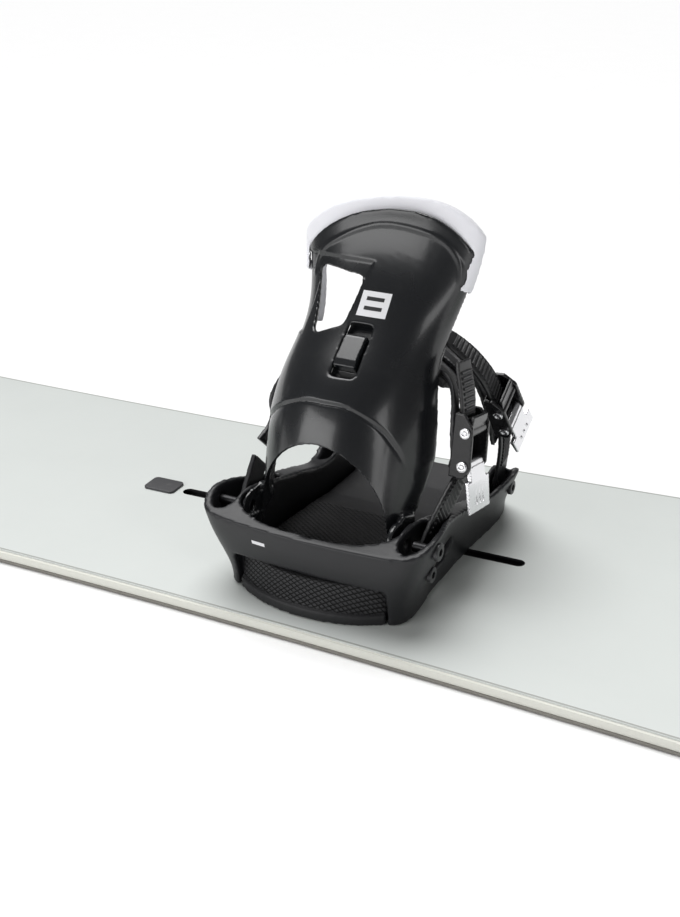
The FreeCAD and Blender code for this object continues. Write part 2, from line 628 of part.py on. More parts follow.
# ----------------------------------------------------------------- assembly
def make_binding():
    pieces = {
        "baseplate": baseplate(),
        "heel_pad": heel_pad(),
        "footbed": footbed(),
        "highback": highback(),
        "highback_pad": highback_pad(),
        "lean_adjuster": lean_adjuster(),
        "hinge_screws": cap_screws(HINGE_R, [(HINGE_Y, HINGE_Z, 45.0, 73.2)]),
        "strap_screws": cap_screws(PIN_R, [(ANKLE_Y, ANKLE_Z, 52.4, 67.6),
                                           (TOE_Y, TOE_Z, 52.4, 65.6)]),
    }
    ankle = strap_parts(ANKLE_STRAP, ANKLE_LINK, ANKLE_LADDER, ANKLE_BUCKLE, ANKLE_TILT,
                        0.0, (ANKLE_Y, ANKLE_Z), (28.0, 4.0), True)
    toe = strap_parts(TOE_STRAP, TOE_LINK, TOE_LADDER, TOE_BUCKLE, TOE_TILT,
                      TOE_LEAN, (TOE_Y, TOE_Z), (18.0, -4.0), False)
    for name, shape in ankle.items():
        pieces["ankle_" + name] = shape
    for name, shape in toe.items():
        pieces["toe_" + name] = shape
    pieces["ankle_strap_pad"] = ribbon(ANKLE_STRAP[3:-3], 5.0, 0.0, 4.2)
    for shape in pieces.values():
        shape.rotate(V(0, 0, 0), EZ, -STANCE_ANGLE)
    pieces["mounting_disc"] = mounting_disc()
    pieces["disc_screws"] = disc_screws()
    pieces["channel_nuts"] = channel_nuts()
    for shape in pieces.values():
        shape.translate(V(STANCE_HALF, 0, BOARD_T))
    return pieces


def main():
    os.makedirs("parts", exist_ok=True)
    nodes = make_board()
    for name, shape in make_binding().items():
        nodes["right_" + name] = shape
        nodes["left_" + name] = shape.mirror(V(0, 0, 0), EX)
    for name, shape in nodes.items():
        solids = [s if s.Volume > 0 else s.reversed() for s in shape.Solids]
        shape = solids[0] if len(solids) == 1 else Part.Compound(solids)
        shape.exportStep("parts/" + name + ".step")
        print(name, len(solids), round(shape.Volume / 1000, 2), shape.isValid())


main()
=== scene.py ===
import bpy
import bmesh
import json
import math
import numpy as np
from mathutils import Matrix, Vector
from mathutils.bvhtree import BVHTree


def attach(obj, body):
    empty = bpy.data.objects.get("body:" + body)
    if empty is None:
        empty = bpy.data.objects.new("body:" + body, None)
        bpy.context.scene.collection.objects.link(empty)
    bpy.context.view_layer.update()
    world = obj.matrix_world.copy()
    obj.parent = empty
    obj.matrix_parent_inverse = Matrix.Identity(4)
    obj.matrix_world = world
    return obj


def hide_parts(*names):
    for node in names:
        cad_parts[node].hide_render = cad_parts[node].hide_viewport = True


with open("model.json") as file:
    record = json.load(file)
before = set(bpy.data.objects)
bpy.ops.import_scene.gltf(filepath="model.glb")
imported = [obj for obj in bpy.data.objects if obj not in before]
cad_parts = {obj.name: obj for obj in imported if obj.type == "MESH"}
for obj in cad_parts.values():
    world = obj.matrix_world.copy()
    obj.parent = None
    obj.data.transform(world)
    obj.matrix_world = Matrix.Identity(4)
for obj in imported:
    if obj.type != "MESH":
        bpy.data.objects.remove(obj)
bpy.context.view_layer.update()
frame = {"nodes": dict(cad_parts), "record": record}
print("frame loaded")

slotOf = {s["node"]: s["material_slot"] for s in frame["record"]["subparts"]}
bodyOf = {n: b for b, ns in frame["record"]["behaviour"]["bodies"].items() for n in ns}

# Where the bindings stand on the board, millimetres and degrees.
stance = {"half": 280.0, "angle": 3.0, "deck": 8.0}
turn = math.radians(stance["angle"])


# A point of the right binding, in its own millimetres, as metres in the frame.
def toBoard(p):
    x, y, z = p
    wx = x * math.cos(turn) + y * math.sin(turn) + stance["half"]
    wy = -x * math.sin(turn) + y * math.cos(turn)
    return Vector((wx, wy, z + stance["deck"])) / 1000


def newNode(tree, kind, **values):
    node = tree.nodes.new(kind)
    for key, value in values.items():
        if key.startswith("in_"):
            name = key[3:].replace("_", " ")
            (node.inputs[int(name)] if name.isdigit() else node.inputs[name]).default_value = value
        else:
            setattr(node, key, value)
    return node


def link(tree, a, b):
    tree.links.new(a, b)


# A Math node whose inputs are numbers or other nodes' sockets.
def calc(tree, op, a, b=None, clamp=False):
    node = tree.nodes.new("ShaderNodeMath")
    node.operation = op
    node.use_clamp = clamp
    for i, v in enumerate((a, b)):
        if v is None:
            continue
        if isinstance(v, (int, float)):
            node.inputs[i].default_value = v
        else:
            tree.links.new(v, node.inputs[i])
    return node.outputs[0]


# An empty shader group with named sockets: f is a float, c a colour, v a vector.
def newGroup(name, ins, outs):
    tree = bpy.data.node_groups.new(name, "ShaderNodeTree")
    kinds = {"f": "NodeSocketFloat", "c": "NodeSocketColor", "v": "NodeSocketVector"}
    for label, kind, value in ins:
        s = tree.interface.new_socket(name=label, in_out="INPUT", socket_type=kinds[kind])
        if value is not None:
            s.default_value = value
    for label, kind in outs:
        tree.interface.new_socket(name=label, in_out="OUTPUT", socket_type=kinds[kind])
    return tree, tree.nodes.new("NodeGroupInput"), tree.nodes.new("NodeGroupOutput")


# Moulded plastic: drifting tone, fine grain, rubbed edges, settled dust.
def mouldedGroup():
    ins = [("Colour", "c", None), ("Worn", "c", None), ("Grain size", "f", 900.0),
           ("Grain depth", "f", 0.1), ("Drift", "f", 0.2), ("Dust", "f", 0.1), ("Rub", "f", 0.3),
           ("Roughness", "f", 0.4)]
    tree, gin, gout = newGroup("mouldedFinish", ins, [("Color", "c"), ("Roughness", "f"),
                                                     ("Normal", "v")])
    coord = newNode(tree, "ShaderNodeTexCoord")
    broad = newNode(tree, "ShaderNodeTexNoise", in_Scale=18.0, in_Detail=3.0)
    link(tree, coord.outputs["Object"], broad.inputs["Vector"])
    fine = newNode(tree, "ShaderNodeTexNoise", in_Detail=2.0)
    link(tree, coord.outputs["Object"], fine.inputs["Vector"])
    link(tree, gin.outputs["Grain size"], fine.inputs["Scale"])
    drift = calc(tree, "MULTIPLY", calc(tree, "SUBTRACT", broad.outputs[0], 0.5),
                  gin.outputs["Drift"])
    tone = newNode(tree, "ShaderNodeHueSaturation")
    link(tree, gin.outputs["Colour"], tone.inputs["Color"])
    link(tree, calc(tree, "ADD", calc(tree, "MULTIPLY", drift, 2.0), 1.0), tone.inputs["Value"])
    geo = newNode(tree, "ShaderNodeNewGeometry")
    edge = newNode(tree, "ShaderNodeMapRange", in_1=0.53, in_2=0.62)
    link(tree, geo.outputs["Pointiness"], edge.inputs[0])
    patch = newNode(tree, "ShaderNodeTexNoise", in_Scale=120.0, in_Detail=4.0)
    link(tree, coord.outputs["Object"], patch.inputs["Vector"])
    rub = calc(tree, "MULTIPLY", edge.outputs[0],
                calc(tree, "MULTIPLY", patch.outputs[0], gin.outputs["Rub"]), True)
    worn = newNode(tree, "ShaderNodeMix", data_type="RGBA")
    link(tree, rub, worn.inputs[0])
    link(tree, tone.outputs[0], worn.inputs[6])
    link(tree, gin.outputs["Worn"], worn.inputs[7])
    up = newNode(tree, "ShaderNodeSeparateXYZ")
    link(tree, geo.outputs["Normal"], up.inputs[0])
    lint = newNode(tree, "ShaderNodeMapRange", in_1=0.55, in_2=0.75)
    link(tree, patch.outputs[0], lint.inputs[0])
    dust = calc(tree, "MULTIPLY", calc(tree, "MULTIPLY", calc(tree, "MAXIMUM", up.outputs[2], 0.0),
                 lint.outputs[0]), gin.outputs["Dust"], True)
    dusty = newNode(tree, "ShaderNodeMix", data_type="RGBA")
    dusty.inputs[7].default_value = (0.45, 0.44, 0.42, 1)
    link(tree, dust, dusty.inputs[0])
    link(tree, worn.outputs[2], dusty.inputs[6])
    rough = calc(tree, "ADD", gin.outputs["Roughness"],
                  calc(tree, "ADD", calc(tree, "MULTIPLY", drift, 0.5),
                        calc(tree, "MULTIPLY", dust, 0.6)), True)
    bump = newNode(tree, "ShaderNodeBump", in_Distance=0.0004)
    link(tree, gin.outputs["Grain depth"], bump.inputs["Strength"])
    link(tree, fine.outputs[0], bump.inputs["Height"])
    link(tree, dusty.outputs[2], gout.inputs["Color"])
    link(tree, rough, gout.inputs["Roughness"])
    link(tree, bump.outputs[0], gout.inputs["Normal"])
    return tree


# Diamond tread: a raised diamond field parted by narrow grooves; its mask is low in the grooves, where the
# colour gets painted shade.
def treadGroup():
    tree, gin, gout = newGroup("diamondTread", [("Pitch", "f", 0.0042)],
                               [("Mask", "f"), ("Normal", "v")])
    coord = newNode(tree, "ShaderNodeTexCoord")
    xyz = newNode(tree, "ShaderNodeSeparateXYZ")
    link(tree, coord.outputs["Object"], xyz.inputs[0])
    run = calc(tree, "ADD", xyz.outputs[1], xyz.outputs[2])
    gaps = []
    for op in ("ADD", "SUBTRACT"):
        slant = calc(tree, "DIVIDE", calc(tree, op, xyz.outputs[0], calc(tree, "MULTIPLY", run, 1.35)),
                      gin.outputs["Pitch"])
        away = calc(tree, "ABSOLUTE", calc(tree, "SUBTRACT", calc(tree, "FRACT", slant), 0.5))
        gaps.append(away)
    far = calc(tree, "MAXIMUM", gaps[0], gaps[1])
    ridge = newNode(tree, "ShaderNodeMapRange", interpolation_type="SMOOTHSTEP", in_1=0.5, in_2=0.33)
    link(tree, far, ridge.inputs[0])
    bump = newNode(tree, "ShaderNodeBump", in_Distance=0.0016, in_Strength=1.0)
    link(tree, ridge.outputs[0], bump.inputs["Height"])
    link(tree, ridge.outputs[0], gout.inputs["Mask"])
    link(tree, bump.outputs[0], gout.inputs["Normal"])
    return tree


# Plain weave with a faint fuzz; its mask is low between the threads, where the colour gets painted shade,
# and the fuzz varies the tone at random.
def weaveGroup():
    tree, gin, gout = newGroup("plainWeave", [("Threads", "f", 900.0), ("Depth", "f", 0.5)],
                               [("Mask", "f"), ("Normal", "v")])
    coord = newNode(tree, "ShaderNodeTexCoord")
    xyz = newNode(tree, "ShaderNodeSeparateXYZ")
    link(tree, coord.outputs["Object"], xyz.inputs[0])
    waves = []
    for a, b in ((0, 1), (1, 2)):
        pos = calc(tree, "ADD", xyz.outputs[a], calc(tree, "MULTIPLY", xyz.outputs[b], 0.6))
        waves.append(calc(tree, "SINE", calc(tree, "MULTIPLY",
                     calc(tree, "MULTIPLY", pos, gin.outputs["Threads"]), 6.283)))
    over = calc(tree, "MULTIPLY", waves[0], waves[1])
    fuzz = newNode(tree, "ShaderNodeTexNoise", in_Scale=2600.0, in_Detail=3.0)
    link(tree, coord.outputs["Object"], fuzz.inputs["Vector"])
    high = calc(tree, "ADD", calc(tree, "MULTIPLY", over, 0.5), fuzz.outputs[0])
    bump = newNode(tree, "ShaderNodeBump", in_Distance=0.0003)
    link(tree, gin.outputs["Depth"], bump.inputs["Strength"])
    link(tree, high, bump.inputs["Height"])
    link(tree, high, gout.inputs["Mask"])
    link(tree, bump.outputs[0], gout.inputs["Normal"])
    return tree


moulded, tread, weave = mouldedGroup(), treadGroup(), weaveGroup()


def finish(name, colour, roughness, worn=(0.12, 0.12, 0.125), grain=(900.0, 0.15), drift=0.2,
           dust=0.08, rub=0.3, metal=0.0, coat=0.0, sheen=0.0, shine=0.5, reliefAndShade=None):
    mat = bpy.data.materials.new(name)
    mat.use_nodes = True
    tree = mat.node_tree
    shader = tree.nodes["Principled BSDF"]
    look = newNode(tree, "ShaderNodeGroup", node_tree=moulded)
    look.inputs["Colour"].default_value = (*colour, 1)
    look.inputs["Worn"].default_value = (*worn, 1)
    look.inputs["Grain size"].default_value = grain[0]
    look.inputs["Grain depth"].default_value = grain[1]
    look.inputs["Drift"].default_value = drift
    look.inputs["Dust"].default_value = dust
    look.inputs["Rub"].default_value = rub
    look.inputs["Roughness"].default_value = roughness
    link(tree, look.outputs["Roughness"], shader.inputs["Roughness"])
    shader.inputs["Metallic"].default_value = metal
    shader.inputs["Coat Weight"].default_value = coat
    shader.inputs["Specular IOR Level"].default_value = shine
    shader.inputs["Coat Roughness"].default_value = 0.12
    shader.inputs["Sheen Weight"].default_value = sheen
    colourOut, normalOut = look.outputs["Color"], look.outputs["Normal"]
    # With a relief, the colour is also darkened where the relief's mask is low, down to the given floor:
    # painted shade in its grooves and hollows.
    if reliefAndShade:
        over = newNode(tree, "ShaderNodeGroup", node_tree=reliefAndShade[0])
        for key, value in reliefAndShade[1].items():
            over.inputs[key].default_value = value
        shade = newNode(tree, "ShaderNodeMix", data_type="RGBA", blend_type="MULTIPLY")
        shade.inputs[0].default_value = 1.0
        lift = newNode(tree, "ShaderNodeMapRange", in_3=reliefAndShade[2], in_4=1.0)
        link(tree, over.outputs["Mask"], lift.inputs[0])
        link(tree, colourOut, shade.inputs[6])
        link(tree, lift.outputs[0], shade.inputs[7])
        colourOut, normalOut = shade.outputs[2], over.outputs["Normal"]
    link(tree, colourOut, shader.inputs["Base Color"])
    link(tree, normalOut, shader.inputs["Normal"])
    return mat


# Metal with a directional grain.
def brushed(name, colour, roughness, along=(1, 60, 60), strength=0.25):
    mat = finish(name, colour, roughness, worn=(0.9, 0.9, 0.9), metal=1.0, dust=0.02, rub=0.2)
    tree = mat.node_tree
    shader = tree.nodes["Principled BSDF"]
    coord = newNode(tree, "ShaderNodeTexCoord")
    stretch = newNode(tree, "ShaderNodeMapping")
    stretch.inputs["Scale"].default_value = along
    link(tree, coord.outputs["Object"], stretch.inputs["Vector"])
    lines = newNode(tree, "ShaderNodeTexNoise", in_Scale=60.0, in_Detail=5.0)
    link(tree, stretch.outputs[0], lines.inputs["Vector"])
    bump = newNode(tree, "ShaderNodeBump", in_Distance=0.0002, in_Strength=strength)
    link(tree, lines.outputs[0], bump.inputs["Height"])
    link(tree, bump.outputs[0], shader.inputs["Normal"])
    return mat


# Core laminate: pale and brown strips along the board.
def plyWood(name):
    mat = finish(name, (0.55, 0.38, 0.2), 0.5, rub=0.1)
    tree = mat.node_tree
    coord = newNode(tree, "ShaderNodeTexCoord")
    strips = newNode(tree, "ShaderNodeTexWave", bands_direction="Y", in_Scale=9.0,
                     in_Distortion=0.4, in_Detail=3.0)
    link(tree, coord.outputs["Object"], strips.inputs["Vector"])
    ramp = newNode(tree, "ShaderNodeValToRGB")
    ramp.color_ramp.elements[0].color = (0.62, 0.46, 0.27, 1)
    ramp.color_ramp.elements[1].color = (0.36, 0.23, 0.12, 1)
    link(tree, strips.outputs[0], ramp.inputs[0])
    link(tree, ramp.outputs[0], tree.nodes["Principled BSDF"].inputs["Base Color"])
    return mat


looks = {
    "topsheet_lacquer": finish("topsheetLacquer", (0.635, 0.665, 0.645), 0.38, worn=(0.8, 0.8, 0.8),
                               grain=(2200.0, 0.04), drift=0.025, dust=0.02, rub=0.1, coat=0.25),
    "base_plastic": finish("basePlastic", (0.03, 0.032, 0.036), 0.35, grain=(1400.0, 0.1)),
    "edge_steel": brushed("edgeSteel", (0.20, 0.19, 0.17), 0.42, along=(1, 1, 30)),
    "sidewall_plastic": finish("sidewallPlastic", (0.66, 0.66, 0.60), 0.5, worn=(0.8, 0.8, 0.78),
                               grain=(700.0, 0.2), drift=0.06),
    "wood_core": plyWood("woodCore"),
    "channel_plastic": finish("channelPlastic", (0.012, 0.012, 0.013), 0.5),
    "plug_plastic": finish("plugPlastic", (0.035, 0.035, 0.038), 0.45, grain=(1100.0, 0.3)),
    "black_nylon": finish("blackNylon", (0.0095, 0.0098, 0.0115), 0.40, grain=(1500.0, 0.2),
                          worn=(0.05, 0.05, 0.055), dust=0.02, drift=0.12, shine=0.4),
    # The tread's grooves are darkened to 0.12 of the colour: painted shade.
    "black_foam": finish("blackFoam", (0.024, 0.024, 0.026), 0.55, grain=(1800.0, 0.3), dust=0.02,
                         shine=0.35, reliefAndShade=(tread, {"Pitch": 0.0046}, 0.12)),
    "highback_nylon": finish("highbackNylon", (0.0075, 0.0083, 0.0098), 0.27, grain=(700.0, 0.05),
                             worn=(0.04, 0.04, 0.045), dust=0.01, drift=0.1, coat=0.3),
    "white_foam": finish("whiteFoam", (0.80, 0.80, 0.84), 0.75, worn=(0.9, 0.9, 0.9),
                         grain=(1600.0, 0.5), drift=0.03, dust=0.0, sheen=0.3),
    "strap_plastic": finish("strapPlastic", (0.016, 0.016, 0.018), 0.4, grain=(1200.0, 0.25)),
    # The weave's low places are darkened to 0.55 of the colour: painted shade, with random tone from the
    # fuzz.
    "strap_fabric": finish("strapFabric", (0.022, 0.022, 0.024), 0.85, sheen=0.4,
                           reliefAndShade=(weave, {"Threads": 620.0, "Depth": 0.7}, 0.55)),
    "ladder_plastic": finish("ladderPlastic", (0.013, 0.013, 0.014), 0.38, grain=(1200.0, 0.15)),
    "buckle_nylon": finish("buckleNylon", (0.009, 0.009, 0.010), 0.25, grain=(900.0, 0.1)),
    "lever_alloy": brushed("leverAlloy", (0.80, 0.80, 0.82), 0.24, along=(40, 40, 2), strength=0.1),
    "rivet_steel": brushed("rivetSteel", (0.75, 0.75, 0.77), 0.2, strength=0.05),
    "black_screw": finish("blackScrew", (0.018, 0.018, 0.02), 0.35, metal=0.6,
                          worn=(0.35, 0.35, 0.36), rub=0.5),
    "fastener_steel": brushed("fastenerSteel", (0.5, 0.5, 0.52), 0.35),
}
print("materials ready")


def newObject(name, mesh):
    obj = bpy.data.objects.new(name, mesh)
    bpy.context.scene.collection.objects.link(obj)
    return obj


def paint(obj, slot, mat=None):
    obj.data.materials.clear()
    obj.data.materials.append(mat or looks[slot])
    return obj


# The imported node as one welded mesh.
def copyOf(node, name, sharp=35):
    mesh = frame["nodes"][node].data.copy()
    bm = bmesh.new()
    bm.from_mesh(mesh)
    bmesh.ops.remove_doubles(bm, verts=bm.verts, dist=2e-6)
    bmesh.ops.recalc_face_normals(bm, faces=bm.faces)
    bm.to_mesh(mesh)
    bm.free()
    if mesh.has_custom_normals:
        mesh.attributes.remove(mesh.attributes["custom_normal"])
    mesh.polygons.foreach_set("use_smooth", [True] * len(mesh.polygons))
    mesh.set_sharp_from_angle(angle=math.radians(sharp))
    return newObject(name, mesh)


# Turns the modifiers into the mesh itself.
def settle(obj):
    graph = bpy.context.evaluated_depsgraph_get()
    mesh = bpy.data.meshes.new_from_object(obj.evaluated_get(graph))
    obj.modifiers.clear()
    obj.data = mesh
    return obj


# Remeshed in small cells and smoothed, so moulded edges turn round.
def soften(obj, voxel, rounds, factor=0.5):
    cells = obj.modifiers.new("cells", "REMESH")
    cells.mode = "VOXEL"
    cells.voxel_size = voxel / 1000
    cells.use_smooth_shade = True
    even = obj.modifiers.new("even", "SMOOTH")
    even.iterations = rounds
    even.factor = factor
    return settle(obj)


def lookName(node):
    return "right" + node.title().replace("_", "") + "Look"


def mirrored(obj, name):
    mesh = obj.data.copy()
    mesh.transform(Matrix.Scale(-1, 4, Vector((1, 0, 0))))
    mesh.flip_normals()
    return newObject(name, mesh)


# Hands the right piece to its node and its mirror image to the left one.
def bothSides(obj, node):
    other = mirrored(obj, obj.name.replace("right", "left"))
    for piece, side in ((obj, "right"), (other, "left")):
        paint(piece, slotOf[f"{side}_{node}"])
        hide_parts(f"{side}_{node}")
        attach(piece, bodyOf[f"{side}_{node}"])


# A detail with no node of its own, on both bindings.
def addedTo(obj, body, slot, mat=None):
    other = mirrored(obj, obj.name.replace("right", "left"))
    for piece, side in ((obj, "right"), (other, "left")):
        paint(piece, slot, mat)
        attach(piece, f"{side}_{body}")


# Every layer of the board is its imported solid, welded.
for node in ("base_sheet", "steel_edge", "sidewall", "core", "topsheet", "channel_tracks",
             "channel_plugs"):
    layer = copyOf(node, node.replace("_", "") + "Look")
    paint(layer, slotOf[node])
    if node == "channel_tracks":  # the top sheet covers the inserts
        layer.data.materials.append(looks["topsheet_lacquer"])
        for face in layer.data.polygons:
            if face.normal.z > 0.9 and face.center.z > 0.0079:
                face.material_index = 1
    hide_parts(node)
    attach(layer, "board")


# A ribbon just inside the outline of a mesh's top face, all in millimetres.
def rimLine(name, mesh, inset, width, lift):
    uses = {}
    for face in mesh.polygons:
        if face.normal.z > 0.3:
            for key in face.edge_keys:
                uses[key] = uses.get(key, 0) + 1
    following = {}
    for a, b in (key for key, times in uses.items() if times == 1):
        following.setdefault(a, []).append(b)
        following.setdefault(b, []).append(a)
    start = max(following, key=lambda i: abs(mesh.vertices[i].co.x))
    loop, last = [start], None
    while True:
        ahead = [i for i in following[loop[-1]] if i != last]
        last = loop[-1]
        if ahead[0] == start:
            break
        loop.append(ahead[0])
    outline = [mesh.vertices[i].co for i in loop]
    turned = sum(a.x * b.y - b.x * a.y for a, b in zip(outline, outline[1:] + outline[:1]))
    rows = []
    for before, here, after in zip(outline[-1:] + outline, outline, outline[1:] + outline[:1]):
        way = (after - before).normalized()
        inward = Vector((-way.y, way.x, 0)) * (1 if turned > 0 else -1)
        rows.append([here + inward * d / 1000 + Vector((0, 0, lift / 1000)) for d in (inset, inset + width)])
    count = len(rows)
    ribbon = bpy.data.meshes.new(name)
    ribbon.from_pydata([p for row in rows for p in row], [],
                       [(2 * i, 2 * ((i + 1) % count), 2 * ((i + 1) % count) + 1, 2 * i + 1)
                        for i in range(count)])
    ribbon.update()
    if ribbon.polygons[0].normal.z < 0:
        ribbon.flip_normals()
    return newObject(name, ribbon)


# A thin grey line painted just inside the top sheet's edge.
rim = {"inset": 0.4, "width": 1.3, "lift": 0.03, "tone": (0.36, 0.37, 0.35)}
line = rimLine("topsheetRimLook", bpy.data.objects["topsheetLook"].data, rim["inset"], rim["width"],
               rim["lift"])
paint(line, "topsheet_lacquer", finish("rimInk", rim["tone"], 0.4, grain=(1500.0, 0.05), drift=0.03,
                                       rub=0.0))
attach(line, "board")
print("board done")

# Voxel size in millimetres and smoothing rounds of the pieces that follow their solids.
softness = {
    "baseplate": (1.35, 3), "mounting_disc": (1.0, 2), "lean_adjuster": (0.45, 2),
    "ankle_strap": (0.9, 3), "ankle_connector": (0.6, 2), "ankle_ladder": (0.6, 2),
    "ankle_buckle": (0.5, 3), "ankle_lever": (0.4, 3), "ankle_pawl": (0.4, 2),
    "toe_strap": (0.9, 3), "toe_connector": (0.6, 2), "toe_ladder": (0.6, 2),
    "toe_buckle": (0.5, 3), "toe_lever": (0.4, 3), "toe_pawl": (0.4, 2),
}
built = {}
for node, (voxel, rounds) in softness.items():
    piece = copyOf("right_" + node, lookName(node))
    built[node] = soften(piece, voxel, rounds)
# The same for the foam pieces, and how much of its solid each one fills.
foam = {"heel_pad": (1.2, 4, 0.9), "footbed": (1.2, 4, 0.9), "highback_pad": (1.1, 6, 0.9),
        "ankle_strap_pad": (1.0, 8, 0.8)}
for node, (voxel, rounds, fill) in foam.items():
    piece = copyOf("right_" + node, lookName(node))
    soften(piece, voxel, rounds)
    bothSides(piece, node)
smoothFoam = finish("smoothFoam", (0.012, 0.012, 0.0135), 0.5, grain=(1600.0, 0.35), dust=0.02,
                    shine=0.35)
lip = {"top": 15.4, "rear": -100.0}  # the smooth lower edge of the heel apron, millimetres
for side in ("right", "left"):
    bpy.data.objects[side + "FootbedLook"].data.materials[0] = smoothFoam
    apron = bpy.data.objects[side + "HeelPadLook"].data
    apron.materials.append(smoothFoam)
    for face in apron.polygons:
        if face.center.z * 1000 < lip["top"] and face.center.y * 1000 < lip["rear"]:
            face.material_index = 1
print("soft pieces done")

shell = {"hinge": (-58.0, 42.0), "lean": 15.0, "voxel": 0.88, "rounds": 5,
         "step": 0.9, "groove": 0.8, "notch": 0.9, "bead": 0.6, "panel": 1.2}
lean = math.radians(shell["lean"])


# Distance of every place (x, w) from a path.
def awayFrom(x, w, path):
    best = np.full(len(x), 1e9)
    for (x0, w0), (x1, w1) in zip(path, path[1:]):
        dx, dw = x1 - x0, w1 - w0
        t = np.clip(((x - x0) * dx + (w - w0) * dw) / (dx * dx + dw * dw), 0, 1)
        best = np.minimum(best, np.hypot(x - x0 - t * dx, w - w0 - t * dw))
    return best


# The same path with its corners turned into curves.
def rounded(path, steps=6):
    pts = [path[0]] + list(path) + [path[-1]]
    out = []
    for p0, p1, p2, p3 in zip(pts, pts[1:], pts[2:], pts[3:]):
        for k in range(steps):
            t = k / steps
            out.append(tuple(0.5 * (2 * b + (c - a) * t + (2 * a - 5 * b + 4 * c - d) * t * t
                                    + (3 * b - a - 3 * c + d) * t ** 3)
                             for a, b, c, d in zip(p0, p1, p2, p3)))
    return out + [path[-1]]


# Which places lie within a closed outline.
def inside(x, w, area):
    odd = np.zeros(len(x), bool)
    for (x0, w0), (x1, w1) in zip(area, area[1:] + area[:1]):
        if w0 != w1:
            crosses = ((w0 > w) != (w1 > w)) & (x < x0 + (w - w0) * (x1 - x0) / (w1 - w0))
            odd ^= crosses
    return odd


# The moulded living hinge runs round the shell under the slot, and the wall below it
# steps inwards; a bead follows the upper edge, and the window sits in a sunk panel.
seam = rounded([(-60, 46), (-52, 52), (-36, 63), (-18, 70), (-5, 71), (11, 70), (29, 61), (40, 46),
                (46, 30)])
tab = [(-17, 70), (-15, 62), (8, 62), (10, 70)]
bead = rounded([(-46, 140), (-44, 150), (-33, 161), (-2, 174), (31, 171), (45, 160), (48, 146)])
panel = [(-62, 104), (-62, 152), (-46, 153), (-2, 152.5), (-5, 141), (-38, 138), (-41, 104)]
panelEdge = panel + panel[:1]


def ramp(values):
    return np.clip(values, 0, 1)


# How deep the outer face is sunk at each place on the shell, in millimetres.
def carved(x, w):
    fade = 1 - ramp((x - 34) / 12)
    below = np.interp(x, [p[0] for p in seam], [p[1] for p in seam]) - w
    step = shell["step"] * ramp((below + 0.8) / 1.6) * fade
    groove = shell["groove"] * ramp(1 - (awayFrom(x, w, seam) / 1.3) ** 2) * fade
    notch = shell["notch"] * ramp(1 - (awayFrom(x, w, tab) / 1.2) ** 2)
    ridge = shell["bead"] * ramp(1 - (awayFrom(x, w, bead) / 1.8) ** 2)
    sunk = shell["panel"] * ramp(awayFrom(x, w, panelEdge) / 1.2) * inside(x, w, panel)
    return np.maximum(np.maximum(step, notch), sunk) + groove - ridge


right = copyOf("right_highback", "rightHighbackLook")
soften(right, shell["voxel"], shell["rounds"])
count = len(right.data.vertices)
place, facing = np.empty(count * 3, np.float32), np.empty(count * 3, np.float32)
right.data.vertices.foreach_get("co", place)
right.data.vertex_normals.foreach_get("vector", facing)
place, facing = place.reshape(-1, 3), facing.reshape(-1, 3)
acrossX = place[:, 0] * 1000 - stance["half"]
alongY = place[:, 1] * 1000
localX = acrossX * math.cos(turn) - alongY * math.sin(turn)
localY = acrossX * math.sin(turn) + alongY * math.cos(turn)
up = place[:, 2] * 1000 - stance["deck"] - shell["hinge"][1]
height = (localY - shell["hinge"][0]) * math.sin(lean) + up * math.cos(lean)
outer = (facing[:, 1] < 0.15) & (localY < 20) & (height > -6)
place -= facing * (carved(localX, height) * outer / 1000)[:, None]
right.data.vertices.foreach_set("co", place.ravel())
even = right.modifiers.new("even", "SMOOTH")
even.iterations, even.factor = 3, 0.5
settle(right)
bothSides(right, "highback")
built["highback"] = right
print("highback done")

for node in softness:
    bothSides(built[node], node)


# Instances of a source object on points that carry a facing and a heading.
def repeater(name):
    tree = bpy.data.node_groups.new(name, "GeometryNodeTree")
    tree.interface.new_socket(name="Geometry", in_out="INPUT", socket_type="NodeSocketGeometry")
    tree.interface.new_socket(name="Source", in_out="INPUT", socket_type="NodeSocketObject")
    tree.interface.new_socket(name="Size", in_out="INPUT", socket_type="NodeSocketFloat")
    tree.interface.new_socket(name="Finish", in_out="INPUT", socket_type="NodeSocketMaterial")
    tree.interface.new_socket(name="Geometry", in_out="OUTPUT", socket_type="NodeSocketGeometry")
    gin, gout = tree.nodes.new("NodeGroupInput"), tree.nodes.new("NodeGroupOutput")
    source = tree.nodes.new("GeometryNodeObjectInfo")
    link(tree, gin.outputs["Source"], source.inputs["Object"])
    rotation = None
    for attribute, axis in (("facing", "Z"), ("heading", "X")):
        read = tree.nodes.new("GeometryNodeInputNamedAttribute")
        read.data_type = "FLOAT_VECTOR"
        read.inputs["Name"].default_value = attribute
        aim = tree.nodes.new("FunctionNodeAlignRotationToVector")
        aim.axis = axis
        if axis == "X":
            aim.pivot_axis = "Z"
        link(tree, read.outputs[0], aim.inputs["Vector"])
        if rotation:
            link(tree, rotation, aim.inputs["Rotation"])
        rotation = aim.outputs[0]
    place = tree.nodes.new("GeometryNodeInstanceOnPoints")
    link(tree, gin.outputs["Geometry"], place.inputs["Points"])
    link(tree, source.outputs["Geometry"], place.inputs["Instance"])
    link(tree, rotation, place.inputs["Rotation"])
    link(tree, gin.outputs["Size"], place.inputs["Scale"])
    real = tree.nodes.new("GeometryNodeRealizeInstances")
    dress = tree.nodes.new("GeometryNodeSetMaterial")
    link(tree, place.outputs[0], real.inputs[0])
    link(tree, real.outputs[0], dress.inputs["Geometry"])
    link(tree, gin.outputs["Finish"], dress.inputs["Material"])
    link(tree, dress.outputs[0], gout.inputs[0])
    return tree


repeat = repeater("repeatOnPoints")


